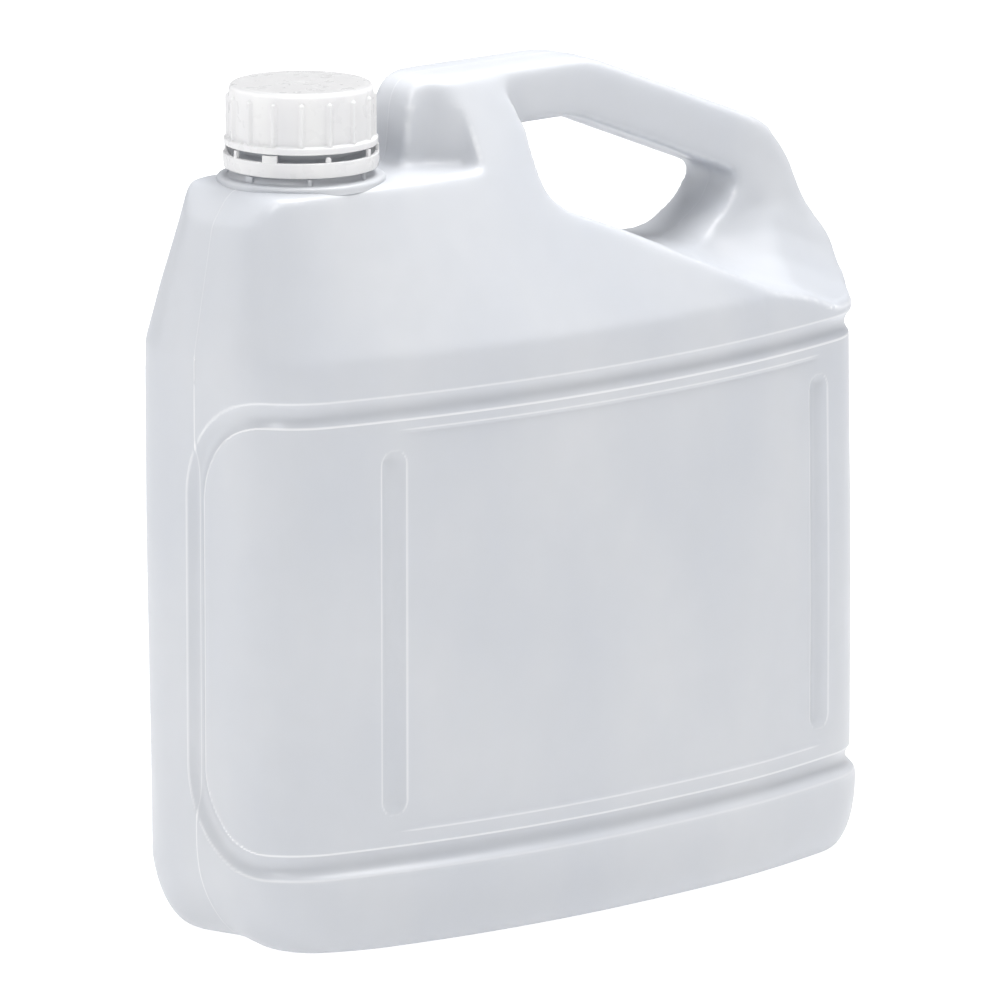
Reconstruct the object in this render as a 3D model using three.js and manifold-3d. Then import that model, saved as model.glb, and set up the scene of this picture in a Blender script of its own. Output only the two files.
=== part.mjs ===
// Flat plastic jug with a moulded-in hollow handle and a tamper-evident screw cap.
// Millimetres, +Z up. The origin is the middle of the underside, X runs along the long side with the
// neck at the -X end, and the mould parting line lies in the plane Y = 0.
import * as THREE from "three";
import { LoftGeometry } from "three/addons/geometries/LoftGeometry.js";
import { mergeVertices } from "three/addons/utils/BufferGeometryUtils.js";
import Module from "manifold-3d";

const wasm = await Module();
wasm.setup();

// ---- clearances and pieces that others are fitted round ----
const FIT_GAP = 0.3; // between pieces that touch on the real jug
const LINER_THICKNESS = 1;

// ---- neck finish, across ----
const NECK_RADIUS = 19.9;
const NECK_WALL = 1.7;
const BORE_RADIUS = NECK_RADIUS - NECK_WALL;
const BEAD_RADIUS = NECK_RADIUS + 2.6; // snap bead that the band is caught under
const COLLAR_RADIUS = NECK_RADIUS + 7.1; // round step between deck and neck
const COLLAR_THICKNESS = 2.8;
const THREAD_PITCH = 5;
const THREAD_DEPTH = 1.4;
const THREAD_WIDTH = 2;
const THREAD_TURNS = 1.5;
const THREAD_CLEARANCE = 0.4;
const THREAD_BURIED = 0.5; // how far a thread ridge starts inside its wall
const THREAD_LEAST = 0.02; // height of a ridge where it runs out
const BEAD_HEIGHT = 1.8;
const BEAD_ROOT = 1; // extra radius of the neck under the bead
const BEAD_SLOPE = 0.4; // height of the bead's sloping underside
const LUG_COUNT = 7;
const LUG_WIDTH = 1.6;
const LUG_PROUD = 1.4; // beyond the snap bead
const LUG_TURN = -123.2; // degrees round the neck of the first lug

// ---- body ----
const LENGTH = 261; // end to end, at the parting line
const DEPTH = 110; // face to face, at the crown of the bowed faces
const FACE_BULGE = 20.28; // how far the broad faces stand out in the middle, below the shoulder
const DECK_FACE_BULGE = 2.84; // the same at deck height, nearly flat
const END_BOW = 330; // radius of the narrow ends in plan
const CORNER = 30; // radius of the upright corners
const LEAST_SIDE = 3; // half of the flat that is always left between two corners
const LEAST_END = 0.2; // half of the narrow end that is always left between its corners
const WALL = 1.2; // blow-moulded wall
const BASE_EDGE_HEIGHT = 30; // the quarter ellipse between wall and underside
const BASE_EDGE_WIDTH = 16;
const SHOULDER_HEIGHT = 193; // where the walls begin to lean in
const DECK_HEIGHT = SHOULDER_HEIGHT + 50; // flat that the neck stands on
const DECK_HALF_DEPTH = COLLAR_RADIUS - 1; // half depth of the leaning body at deck height
const END_LEAN = 5; // how far the narrow ends lean in between shoulder and deck
const DECK_OVERHANG = COLLAR_RADIUS - 1; // flat of the deck beyond the neck axis
const DECK_EDGE_SLOPE = 1.25; // fall per length where the deck rounds over to the narrow end
const DECK_EDGE_ROUND = 10;
const DECK_FOOT_ROUND = 4; // between deck and pillar

// ---- border groove of the wrap-round label panel ----
const PANEL_LOW = 32;
const PANEL_HIGH = SHOULDER_HEIGHT - 16;
const PANEL_CORNER = 30;
const GROOVE_WIDTH = 8.4;
const GROOVE_DEPTH = 2.4;
const LEVEL_GAP = 0.01; // keeps the lowest groove level off the line where the base edge ends
const PANEL_SINK = 0.8;

// ---- neck and handle along the length ----
const NECK_X = -LENGTH / 2 + 44.5;
const PILLAR_NEAR = NECK_X + COLLAR_RADIUS + 10; // face of the front pillar towards the neck
const HOLE_NEAR = PILLAR_NEAR + 38.5; // hand hole, end towards the neck
const HOLE_FAR = LENGTH / 2 - 45.5; // hand hole, far end
const HOLE_SLOPE_START = HOLE_NEAR + 21.5; // where the roof of the hand hole starts to fall
const TOP_SLOPE_START = HOLE_NEAR + 35.5; // where the top of the handle starts to fall
const POST_LEAN = 20; // top corner of the rear post, in from the end of the body
const POST_SLOPE = 2.3; // fall per length of the rear post's outer face

// ---- handle ----
const HANDLE_TOP = DECK_HEIGHT + 31;
const LEAN_END = HANDLE_TOP + 6; // the leaning walls are drawn up to here, then cut to the profile
const HANDLE_SLOPE = 35.7 / (LENGTH / 2 - POST_LEAN - TOP_SLOPE_START); // fall per length of the grip
const HANDLE_WIDTH = 27;
const GRIP_THICKNESS = 20;
const PILLAR_STEP = 1.5; // how far the pillar's full depth runs on past the near end of the hand hole
const PILLAR_DRAFT = 2; // lean of the pillar's face towards the neck, on either side of its middle
const RIDGE_AT_HOLE = DECK_HEIGHT - 13; // height of the shoulder ridge at the near end of the hand hole
const RIDGE_SLOPE = 41 / (HOLE_FAR - HOLE_NEAR);
const TONGUE_WIDTH = 20; // narrow end of the pillar, between the side notches
const NOTCH_START = PILLAR_NEAR + 7; // where the side notches begin to widen the pillar
const NOTCH_END = PILLAR_NEAR + 16; // where the side notches run out into the leaning faces
const NOTCH_END_HALF_DEPTH = 19;
const POST_FOOT = 2; // how far under the ridge the post reaches the body's full depth
const POST_TOP_ROUND = 20;
const GRIP_TOP_ROUND = 40;
const PILLAR_TOP_ROUND = 9;

// Round corners of the hand hole, from the low near corner anticlockwise.
const HOLE_ROUNDS = [14, 17, 8, 20, 4];

// Half width added to the grip as its rear post runs out into the shoulder, against height over it.
const POST_FLARE = [
  [16, 6],
  [6, 13],
  [1.5, 22],
  [0, 32],
];

// ---- screw cap and tamper-evident band ----
const CAP_BOTTOM = DECK_HEIGHT + 13.9;
const CAP_HEIGHT = 19.4;
const CAP_TOP = CAP_BOTTOM + CAP_HEIGHT;
const CAP_WALL = 1.4;
const CAP_TOP_WALL = 1.6;
const CAP_EDGE = 2;
const CAP_ROOT = NECK_RADIUS + THREAD_DEPTH + THREAD_CLEARANCE;
const CAP_OUTER = CAP_ROOT + CAP_WALL;
const CAP_LEAD_IN = 0.6; // chamfer at the mouth of the cap
const FLANGE_RADIUS = CAP_OUTER + 1.5;
const FLANGE_HEIGHT = 2;
const FLANGE_SLOPE = 0.5; // height of the flange's sloping top
const RIB_COUNT = 16;
const RIB_WIDTH = 1.6;
const RIB_REACH = CAP_OUTER + 1;
const RIB_TOP_GAP = 3.2;
const RIB_TURN = 5.5; // degrees round the cap of the first rib
const BURIED = 0.5; // how far a rib, lug or bridge starts inside the piece it grows from
const BAND_TOP = CAP_BOTTOM - 2.6;
const BAND_HEIGHT = 4.9;
const BAND_RADIUS = CAP_OUTER + 1.8;
const BAND_WALL = 1.5;
const BAND_LIP = 1.4;
const BAND_LIP_CATCH = 0.8; // how far the lip reaches in under the snap bead
const BAND_EDGE = 0.4;
const BRIDGE_DEPTH = 1.2;
const BRIDGE_REPEATS = 3;

// Bridges that hold the band to the cap: degrees round the neck of the first, and width.
const BRIDGES = [
  [172, 1.5],
  [206, 5.2],
  [251, 1.9],
];

// ---- heights on the neck that follow from the cap ----
const LAND_HEIGHT = CAP_TOP - CAP_TOP_WALL - LINER_THICKNESS - 2 * FIT_GAP; // rim that the liner seals
const THREAD_START = CAP_BOTTOM + 3.1;
const BAND_BOTTOM = BAND_TOP - BAND_HEIGHT;
const BEAD_LOW = BAND_BOTTOM + BAND_LIP + FIT_GAP;
const BORE_FOOT = DECK_HEIGHT - 12; // the bore is cut down into the hollow of the body

const ROUND_STEPS = 48;
const FULL_TURN = 2 * Math.PI;
const REACH = 200; // half size of cutting solids that run past the body
const SPARE = 20; // how far the side profile runs past the body

// ---- solids ----

function solid(geometry) {
  const bare = geometry.index ? geometry.toNonIndexed() : geometry.clone();
  const points = new THREE.BufferGeometry().setAttribute("position", bare.getAttribute("position"));
  const merged = mergeVertices(points, 1e-4);
  const corners = merged.index.array;
  const kept = [];
  for (let i = 0; i < corners.length; i += 3) {
    const [a, b, c] = corners.slice(i, i + 3);
    if (a !== b && b !== c && c !== a) kept.push(a, b, c);
  }
  return new wasm.Manifold(
    new wasm.Mesh({
      numProp: 3,
      vertProperties: merged.attributes.position.array,
      triVerts: new Uint32Array(kept),
    }),
  );
}

function geometryOf(manifold) {
  const mesh = manifold.getMesh();
  const geometry = new THREE.BufferGeometry();
  geometry.setAttribute("position", new THREE.BufferAttribute(mesh.vertProperties, 3));
  geometry.setIndex(new THREE.BufferAttribute(mesh.triVerts, 1));
  geometry.computeVertexNormals();
  return geometry;
}

// A solid of revolution about the upright line through the neck, from [radius, height] points.
function turned(profile, steps = ROUND_STEPS) {
  const points = profile.map(([radius, height]) => new THREE.Vector2(radius, height));
  const lathe = new THREE.LatheGeometry(points, steps);
  return solid(lathe.rotateX(Math.PI / 2).translate(NECK_X, 0, 0));
}

// A flat outline in the X-Z plane, drawn right through the body from front to back.
function through(shape, halfDepth = REACH) {
  const block = new THREE.ExtrudeGeometry(shape, {
    depth: 2 * halfDepth,
    bevelEnabled: false,
    curveSegments: 6,
  });
  return solid(block.rotateX(Math.PI / 2).translate(0, halfDepth, 0));
}

function meet(a, b) {
  const [d, e] = [a[1].clone().sub(a[0]), b[1].clone().sub(b[0])];
  const t = b[0].clone().sub(a[0]).cross(e) / d.cross(e);
  return a[0].clone().addScaledVector(d, t);
}

// Anticlockwise corners [x, z, radius] with every side moved outwards by grow; round corners keep
// their centres, so a grown outline keeps one distance from the first.
function roundedShape(corners, grow = 0) {
  const count = corners.length;
  const at = corners.map(([x, z]) => new THREE.Vector2(x, z));
  const sides = at.map((p, i) => {
    const q = at[(i + 1) % count];
    const out = new THREE.Vector2(q.y - p.y, p.x - q.x).setLength(grow || 1e-9);
    return [p.clone().add(out), q.clone().add(out)];
  });
  const shape = new THREE.Shape();
  const goTo = (p, i) => (i ? shape.lineTo(p.x, p.y) : shape.moveTo(p.x, p.y));
  corners.forEach(([, , radius], i) => {
    const before = sides[(i + count - 1) % count];
    const after = sides[i];
    const tip = meet(before, after);
    const into = before[1].clone().sub(before[0]).normalize();
    const onwards = after[1].clone().sub(after[0]).normalize();
    const turn = Math.atan2(into.cross(onwards), into.dot(onwards));
    const bend = radius + Math.sign(turn) * grow;
    if (radius === 0 || bend <= 0) {
      goTo(tip, i);
      return;
    }
    const cut = bend * Math.tan(Math.abs(turn) / 2);
    const start = tip.clone().addScaledVector(into, -cut);
    const side = Math.sign(turn);
    const centre = start.clone().add(new THREE.Vector2(-into.y, into.x).multiplyScalar(side * bend));
    const from = Math.atan2(start.y - centre.y, start.x - centre.x);
    shape.absarc(centre.x, centre.y, bend, from, from + turn, turn < 0);
  });
  shape.closePath();
  return shape;
}

// ---- body outline in plan ----

// Three tangent arcs make each quarter of the outline. part runs 0 to 1 on the end arc, 1 to 2
// round the corner and 2 to 3 on the broad face.
function quarterPoint(part, plan) {
  const face = { x: 0, y: plan.depth / 2 - plan.faceBow, r: plan.faceBow };
  const end = { x: plan.length / 2 - END_BOW, y: 0, r: END_BOW };
  const reachFace = face.r - plan.corner;
  const reachEnd = end.r - plan.corner;
  const apart = Math.hypot(end.x - face.x, end.y - face.y);
  const along = (reachFace ** 2 - reachEnd ** 2 + apart ** 2) / (2 * apart);
  const off = Math.sqrt(reachFace ** 2 - along ** 2);
  const ux = (end.x - face.x) / apart;
  const uy = (end.y - face.y) / apart;
  const corner = {
    x: face.x + ux * along + uy * off,
    y: face.y + uy * along - ux * off,
    r: plan.corner,
  };
  const low = Math.atan2(corner.y - end.y, corner.x - end.x);
  const high = Math.atan2(corner.y - face.y, corner.x - face.x);
  const [arc, angle] =
    part < 1
      ? [end, part * low]
      : part < 2
        ? [corner, low + (part - 1) * (high - low)]
        : [face, high + (part - 2) * (Math.PI / 2 - high)];
  const nx = Math.cos(angle);
  const ny = Math.sin(angle);
  return { x: arc.x + arc.r * nx, y: arc.y + arc.r * ny, nx, ny };
}

// Points on the end arc, the corner and the broad face of a quarter.
const PARTS = [5, 6, 5].flatMap((steps, arc) =>
  Array.from({ length: steps }, (_, i) => arc + i / steps),
);

// The whole outline, starting at the +X end and running anticlockwise seen from above.
function planPoints(plan) {
  const quarter = PARTS.map((part) => quarterPoint(part, plan));
  const crown = quarterPoint(3, plan);
  const flip = (p, sx, sy) => ({ x: sx * p.x, y: sy * p.y, nx: sx * p.nx, ny: sy * p.ny });
  const back = (list) => list.slice(1).reverse();
  return [
    ...quarter,
    crown,
    ...back(quarter).map((p) => flip(p, -1, 1)),
    flip(quarter[0], -1, 1),
    ...quarter.slice(1).map((p) => flip(p, -1, -1)),
    flip(crown, -1, -1),
    ...back(quarter).map((p) => flip(p, 1, -1)),
  ];
}

// Radius in plan of a broad face that stands out this far in its middle.
function bowRadius(bulge) {
  return (LENGTH / 2) ** 2 / (2 * bulge) + bulge / 2;
}

const BODY_OUTLINE = planPoints(planAt(SHOULDER_HEIGHT));

// Distance round the outline from the middle of the -X end, positive towards the front face.
function roundFromNeckEnd() {
  const count = BODY_OUTLINE.length;
  const middle = count / 2;
  const run = new Array(count).fill(0);
  const gap = (i, j) =>
    Math.hypot(BODY_OUTLINE[i].x - BODY_OUTLINE[j].x, BODY_OUTLINE[i].y - BODY_OUTLINE[j].y);
  for (let i = middle + 1; i < count; i++) run[i] = run[i - 1] + gap(i, i - 1);
  const half = run[count - 1] + gap(count - 1, 0);
  run[0] = half;
  for (let i = middle - 1; i > 0; i--) run[i] = run[i + 1] - gap(i, i + 1);
  return { run, half };
}

const ROUND = roundFromNeckEnd();

// Depth of the sunken panel and its border groove at a place on the wall. The panel covers the front
// face and both of its corners, and its groove closes on the parting line at each narrow end.
function panelDepth(run, z) {
  const halfRun = ROUND.half / 2;
  const halfHigh = (PANEL_HIGH - PANEL_LOW) / 2;
  const onFront = run < -ROUND.half / 2 ? run + 2 * ROUND.half : run;
  const qx = Math.abs(onFront - halfRun) - (halfRun - PANEL_CORNER);
  const qz = Math.abs(z - (PANEL_HIGH + PANEL_LOW) / 2) - (halfHigh - PANEL_CORNER);
  const outside = Math.hypot(Math.max(qx, 0), Math.max(qz, 0));
  const distance = outside + Math.min(Math.max(qx, qz), 0) - PANEL_CORNER;
  const across = Math.min(Math.abs(distance) / (GROOVE_WIDTH / 2), 1);
  const groove = (GROOVE_DEPTH * (1 + Math.cos(Math.PI * across))) / 2;
  const sunk = distance < 0 ? PANEL_SINK * Math.min(-distance / (GROOVE_WIDTH / 2), 1) : 0;
  return Math.max(groove, sunk);
}

// How far the wall stands in from the full outline at a height.
function leanIn(z) {
  if (z < BASE_EDGE_HEIGHT) {
    const up = (BASE_EDGE_HEIGHT - z) / BASE_EDGE_HEIGHT;
    return BASE_EDGE_WIDTH * (1 - Math.sqrt(1 - up ** 2));
  }
  return 0;
}

// Above the shoulder the outline shrinks in a straight line to a slot shape round the neck.
function planAt(z) {
  const rise = Math.max(z - SHOULDER_HEIGHT, 0) / (DECK_HEIGHT - SHOULDER_HEIGHT);
  const faceIn = DEPTH / 2 - DECK_HALF_DEPTH;
  const depth = DEPTH - 2 * rise * faceIn;
  const flatten = Math.min(rise, 1);
  const faceBow = 1 / ((1 - flatten) / bowRadius(FACE_BULGE) + flatten / bowRadius(DECK_FACE_BULGE));
  const length = LENGTH - 2 * rise * END_LEAN;
  const endHalf = depth / 2 - faceBow + Math.sqrt(faceBow ** 2 - (length / 2) ** 2);
  const corner = Math.min(CORNER, depth / 2 - LEAST_SIDE, endHalf - LEAST_END);
  return { faceBow, length, depth, corner };
}

function section(z, inset) {
  const points = planPoints(planAt(z));
  return points.map((p, i) => {
    const away = leanIn(z) + inset + panelDepth(ROUND.run[i], z);
    return new THREE.Vector3(p.x - p.nx * away, p.y - p.ny * away, z);
  });
}

// Shares of the way up the base edge, across a groove and round a panel corner that get a level.
const EDGE_LEVELS = [0, 0.07, 0.2, 0.42, 0.68];
const GROOVE_LEVELS = [-1, -0.5, 0, 0.5, 1];
const TURN_LEVELS = [0.35, 0.62, 1];

function heights(inset) {
  const groove = GROOVE_WIDTH / 2;
  const edge = EDGE_LEVELS.map((t) => inset + (BASE_EDGE_HEIGHT - inset) * t);
  const low = GROOVE_LEVELS.map((t) => PANEL_LOW + t * groove + LEVEL_GAP);
  const high = GROOVE_LEVELS.map((t) => PANEL_HIGH + t * groove);
  const lowTurn = TURN_LEVELS.map((t) => PANEL_LOW + groove + t * (PANEL_CORNER - groove));
  const highTurn = TURN_LEVELS.map((t) => PANEL_HIGH - groove - t * (PANEL_CORNER - groove));
  highTurn.reverse();
  const lean = [SHOULDER_HEIGHT, DECK_HEIGHT, LEAN_END];
  return [...edge, ...low, ...lowTurn, ...highTurn, ...high, ...lean];
}

function walls(inset) {
  const rows = heights(inset).map((z) => section(z, inset));
  return solid(new LoftGeometry(rows, { capStart: true, capEnd: true }));
}

// ---- side view: the profile along the parting line ----

const topLine = (x) => HANDLE_TOP - HANDLE_SLOPE * (x - TOP_SLOPE_START);
const ridgeLine = (x) => RIDGE_AT_HOLE - RIDGE_SLOPE * (x - HOLE_NEAR);
const roofLine = (x) => HANDLE_TOP - GRIP_THICKNESS - HANDLE_SLOPE * (x - HOLE_SLOPE_START);

function sideProfile(inset) {
  const clear = LENGTH / 2 + SPARE;
  const deckEnd = NECK_X - DECK_OVERHANG;
  const postTop = LENGTH / 2 - POST_LEAN;
  return roundedShape(
    [
      [-clear, -SPARE, 0],
      [clear, -SPARE, 0],
      [clear, topLine(postTop) - (clear - postTop) * POST_SLOPE, 0],
      [postTop, topLine(postTop), POST_TOP_ROUND],
      [TOP_SLOPE_START, HANDLE_TOP, GRIP_TOP_ROUND],
      [PILLAR_NEAR + PILLAR_DRAFT / 2, HANDLE_TOP, PILLAR_TOP_ROUND],
      [PILLAR_NEAR - PILLAR_DRAFT, DECK_HEIGHT, DECK_FOOT_ROUND],
      [deckEnd, DECK_HEIGHT, DECK_EDGE_ROUND],
      [-clear, DECK_HEIGHT - (clear + deckEnd) * DECK_EDGE_SLOPE, 0],
    ],
    -inset,
  );
}

function handHole(inset) {
  const corners = [
    [HOLE_NEAR, ridgeLine(HOLE_NEAR)],
    [HOLE_FAR, ridgeLine(HOLE_FAR)],
    [HOLE_FAR, roofLine(HOLE_FAR)],
    [HOLE_SLOPE_START, HANDLE_TOP - GRIP_THICKNESS],
    [HOLE_NEAR, HANDLE_TOP - GRIP_THICKNESS],
  ];
  return roundedShape(
    corners.map(([x, z], i) => [x, z, HOLE_ROUNDS[i]]),
    inset,
  );
}

// Everything in front of the hand hole and under the shoulder ridge keeps the body's full depth.
function fullDepthPart(inset) {
  const pillarFar = HOLE_NEAR + PILLAR_STEP - inset;
  const shape = new THREE.Shape();
  shape.moveTo(-REACH, -1);
  shape.lineTo(REACH, -1);
  shape.lineTo(REACH, ridgeLine(REACH) - inset);
  shape.lineTo(pillarFar, ridgeLine(pillarFar) - inset);
  shape.lineTo(pillarFar, REACH * 2);
  shape.lineTo(-REACH, REACH * 2);
  shape.closePath();
  return through(shape);
}

// The grip and its rear post: a bar that flares where it runs out into the shoulder.
function rail(inset) {
  const half = HANDLE_WIDTH / 2 - inset;
  const flare = [
    [DEPTH / 2, -REACH],
    [DEPTH / 2, -POST_FOOT - inset],
    ...POST_FLARE.map(([more, up]) => [half + more, up - inset]),
    [half, REACH],
  ];
  const outline = [...flare, ...flare.map(([y, up]) => [-y, up]).reverse()];
  const shape = new THREE.Shape(outline.map(([y, up]) => new THREE.Vector2(y, up)));
  const bar = new THREE.ExtrudeGeometry(shape, { depth: 2 * REACH, bevelEnabled: false });
  bar.rotateX(Math.PI / 2);
  bar.rotateZ(Math.PI / 2);
  bar.rotateY(Math.atan(RIDGE_SLOPE));
  return solid(bar.translate(HOLE_NEAR, 0, ridgeLine(HOLE_NEAR)));
}

// The notches on both sides of the pillar, over the deck.
function sideNotch(side, inset) {
  const tongue = TONGUE_WIDTH / 2 - inset;
  const outline = [
    [NECK_X, tongue],
    [NOTCH_START, tongue],
    [NOTCH_END + inset, NOTCH_END_HALF_DEPTH - inset],
    [NOTCH_END + inset, REACH / 2],
    [NECK_X, REACH / 2],
  ];
  const shape = new THREE.Shape(outline.map(([x, y]) => new THREE.Vector2(x, side * y)));
  const block = new THREE.ExtrudeGeometry(shape, { depth: REACH / 2, bevelEnabled: false });
  return solid(block.translate(0, 0, DECK_HEIGHT - inset));
}

function shellSolid(inset) {
  return walls(inset)
    .intersect(through(sideProfile(inset)))
    .intersect(fullDepthPart(inset).add(rail(inset)))
    .subtract(through(handHole(inset)))
    .subtract(sideNotch(1, inset))
    .subtract(sideNotch(-1, inset));
}

// ---- neck ----

// One thread ridge: a trapezoid carried round the neck axis. outwards is 1 on the neck, -1 in the cap.
function thread(rootRadius, outwards, start, turns) {
  const stepsPerTurn = 24;
  const steps = Math.round(turns * stepsPerTurn);
  const sections = [];
  for (let i = 0; i <= steps; i++) {
    const angle = (FULL_TURN * i) / stepsPerTurn;
    const runOut = Math.min(1, i / 3, (steps - i) / 3);
    const crest = rootRadius + outwards * (THREAD_DEPTH * runOut + THREAD_LEAST);
    const root = rootRadius - outwards * THREAD_BURIED;
    const middle = start + (THREAD_PITCH * angle) / FULL_TURN;
    const corners = [
      [root, -THREAD_WIDTH / 2],
      [crest, -THREAD_WIDTH / 4],
      [crest, THREAD_WIDTH / 4],
      [root, THREAD_WIDTH / 2],
    ];
    const ring = corners.map(
      ([r, up]) => new THREE.Vector3(r * Math.cos(angle), r * Math.sin(angle), middle + up),
    );
    sections.push(outwards > 0 ? ring.reverse() : ring);
  }
  const ridge = new LoftGeometry(sections, { capStart: true, capEnd: true });
  return solid(ridge.translate(NECK_X, 0, 0));
}

// Copies of a piece made at angle 0, set evenly round the neck axis.
function roundNeck(count, firstTurn, make) {
  return Array.from({ length: count }, (_, i) => {
    const turn = THREE.MathUtils.degToRad(firstTurn + (360 * i) / count);
    return solid(make().rotateZ(turn).translate(NECK_X, 0, 0));
  });
}

function neckOutside() {
  const collarTop = DECK_HEIGHT + COLLAR_THICKNESS;
  return turned([
    [0, DECK_HEIGHT - WALL / 2],
    [COLLAR_RADIUS, DECK_HEIGHT - WALL / 2],
    [COLLAR_RADIUS, collarTop],
    [NECK_RADIUS + BEAD_ROOT, collarTop],
    [NECK_RADIUS + BEAD_ROOT, BEAD_LOW - BEAD_SLOPE],
    [BEAD_RADIUS, BEAD_LOW],
    [BEAD_RADIUS, BEAD_LOW + BEAD_HEIGHT / 2],
    [NECK_RADIUS, BEAD_LOW + BEAD_HEIGHT * 2],
    [NECK_RADIUS, LAND_HEIGHT],
    [0, LAND_HEIGHT],
  ]);
}

function lugs() {
  const low = DECK_HEIGHT + COLLAR_THICKNESS - BURIED;
  const high = BAND_BOTTOM - FIT_GAP;
  const reach = BEAD_RADIUS + LUG_PROUD - NECK_RADIUS;
  return roundNeck(LUG_COUNT, LUG_TURN, () => {
    const lug = new THREE.BoxGeometry(reach, LUG_WIDTH, high - low);
    return lug.translate(NECK_RADIUS + reach / 2, 0, (low + high) / 2);
  });
}

function makeBottle() {
  const bore = turned([
    [0, BORE_FOOT],
    [BORE_RADIUS, BORE_FOOT],
    [BORE_RADIUS, LAND_HEIGHT + SPARE],
    [0, LAND_HEIGHT + SPARE],
  ]);
  const pieces = [neckOutside(), thread(NECK_RADIUS, 1, THREAD_START, THREAD_TURNS), ...lugs()];
  const outside = pieces.reduce((sum, piece) => sum.add(piece), shellSolid(0));
  return outside.subtract(shellSolid(WALL)).subtract(bore);
}

// ---- cap ----

function makeCap() {
  const inner = CAP_TOP - CAP_TOP_WALL;
  const edge = [0, 1, 2, 3, 4].map((i) => {
    const a = ((Math.PI / 2) * i) / 4;
    return [CAP_OUTER - CAP_EDGE + CAP_EDGE * Math.cos(a), CAP_TOP - CAP_EDGE + CAP_EDGE * Math.sin(a)];
  });
  const shell = turned([
    [0, inner],
    [CAP_ROOT, inner],
    [CAP_ROOT, CAP_BOTTOM + CAP_LEAD_IN],
    [CAP_ROOT + CAP_LEAD_IN, CAP_BOTTOM],
    [FLANGE_RADIUS, CAP_BOTTOM],
    [FLANGE_RADIUS, CAP_BOTTOM + FLANGE_HEIGHT],
    [CAP_OUTER, CAP_BOTTOM + FLANGE_HEIGHT + FLANGE_SLOPE],
    ...edge,
    [0, CAP_TOP],
  ]);
  const low = CAP_BOTTOM + FLANGE_HEIGHT - BURIED;
  const high = CAP_TOP - RIB_TOP_GAP;
  const reach = RIB_REACH - CAP_OUTER + BURIED;
  const ribs = roundNeck(RIB_COUNT, RIB_TURN, () => {
    const rib = new THREE.BoxGeometry(reach, RIB_WIDTH, high - low);
    return rib.translate(RIB_REACH - reach / 2, 0, (low + high) / 2);
  });
  const ridge = thread(CAP_ROOT, -1, THREAD_START + THREAD_PITCH / 2, THREAD_TURNS);
  return [...ribs, ridge].reduce((sum, piece) => sum.add(piece), shell);
}

function makeLiner() {
  const low = LAND_HEIGHT + FIT_GAP;
  const radius = CAP_ROOT - FIT_GAP;
  return turned([
    [0, low],
    [radius, low],
    [radius, low + LINER_THICKNESS],
    [0, low + LINER_THICKNESS],
  ]);
}

function makeBand() {
  const inside = BAND_RADIUS - BAND_WALL;
  const lip = BEAD_RADIUS - BAND_LIP_CATCH;
  const ring = turned([
    [lip, BAND_BOTTOM],
    [BAND_RADIUS - BAND_EDGE, BAND_BOTTOM],
    [BAND_RADIUS, BAND_BOTTOM + BAND_EDGE],
    [BAND_RADIUS, BAND_TOP],
    [inside, BAND_TOP],
    [inside, BAND_BOTTOM + BAND_LIP],
    [lip, BAND_BOTTOM + BAND_LIP],
    [lip, BAND_BOTTOM],
  ]);
  const low = BAND_TOP - BURIED;
  const high = CAP_BOTTOM - FIT_GAP;
  const bridges = BRIDGES.flatMap(([turn, width]) =>
    roundNeck(BRIDGE_REPEATS, turn, () => {
      const bridge = new THREE.BoxGeometry(BRIDGE_DEPTH, width, high - low);
      return bridge.translate(BAND_RADIUS - BAND_WALL / 2, 0, (low + high) / 2);
    }),
  );
  return bridges.reduce((sum, piece) => sum.add(piece), ring);
}

// ---- assembly ----

const milky = new THREE.MeshStandardMaterial({ color: 0xdfe3e8, roughness: 0.42, metalness: 0 });
const white = new THREE.MeshStandardMaterial({ color: 0xf7f7f6, roughness: 0.35, metalness: 0 });
const foam = new THREE.MeshStandardMaterial({ color: 0xf2f1ec, roughness: 0.8, metalness: 0 });

const group = new THREE.Group();
const pieces = [
  ["bottle", makeBottle(), milky],
  ["screw_cap", makeCap(), white],
  ["tamper_band", makeBand(), white],
  ["cap_liner", makeLiner(), foam],
];
for (const [name, manifold, material] of pieces) {
  const mesh = new THREE.Mesh(geometryOf(manifold), material);
  mesh.name = name;
  group.add(mesh);
}

export default group;
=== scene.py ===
# Flat milky HDPE jug with a moulded-in handle and a white screw cap over its tamper-evident band.
# Lengths are worked out in millimetres and scaled to metres when a piece is finished. +Z is up, X runs
# along the long side with the neck at the -X end, and the mould parting line lies in the plane Y = 0.
import math

import bmesh
import bpy
from mathutils import Matrix, Vector
from mathutils.kdtree import KDTree


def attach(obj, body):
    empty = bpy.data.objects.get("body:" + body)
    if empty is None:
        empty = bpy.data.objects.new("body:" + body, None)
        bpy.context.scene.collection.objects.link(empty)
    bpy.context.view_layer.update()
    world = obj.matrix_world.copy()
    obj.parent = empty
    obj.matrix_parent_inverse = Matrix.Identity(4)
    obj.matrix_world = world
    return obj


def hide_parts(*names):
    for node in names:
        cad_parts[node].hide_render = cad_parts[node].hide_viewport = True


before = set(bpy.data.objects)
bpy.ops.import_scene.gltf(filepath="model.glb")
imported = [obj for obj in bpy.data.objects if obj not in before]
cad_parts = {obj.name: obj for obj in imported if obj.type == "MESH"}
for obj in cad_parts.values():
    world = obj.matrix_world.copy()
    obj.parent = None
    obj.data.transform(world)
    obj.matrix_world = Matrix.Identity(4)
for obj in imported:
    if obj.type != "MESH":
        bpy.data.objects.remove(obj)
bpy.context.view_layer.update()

MM = 0.001
FULL_TURN = 2 * math.pi

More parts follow.
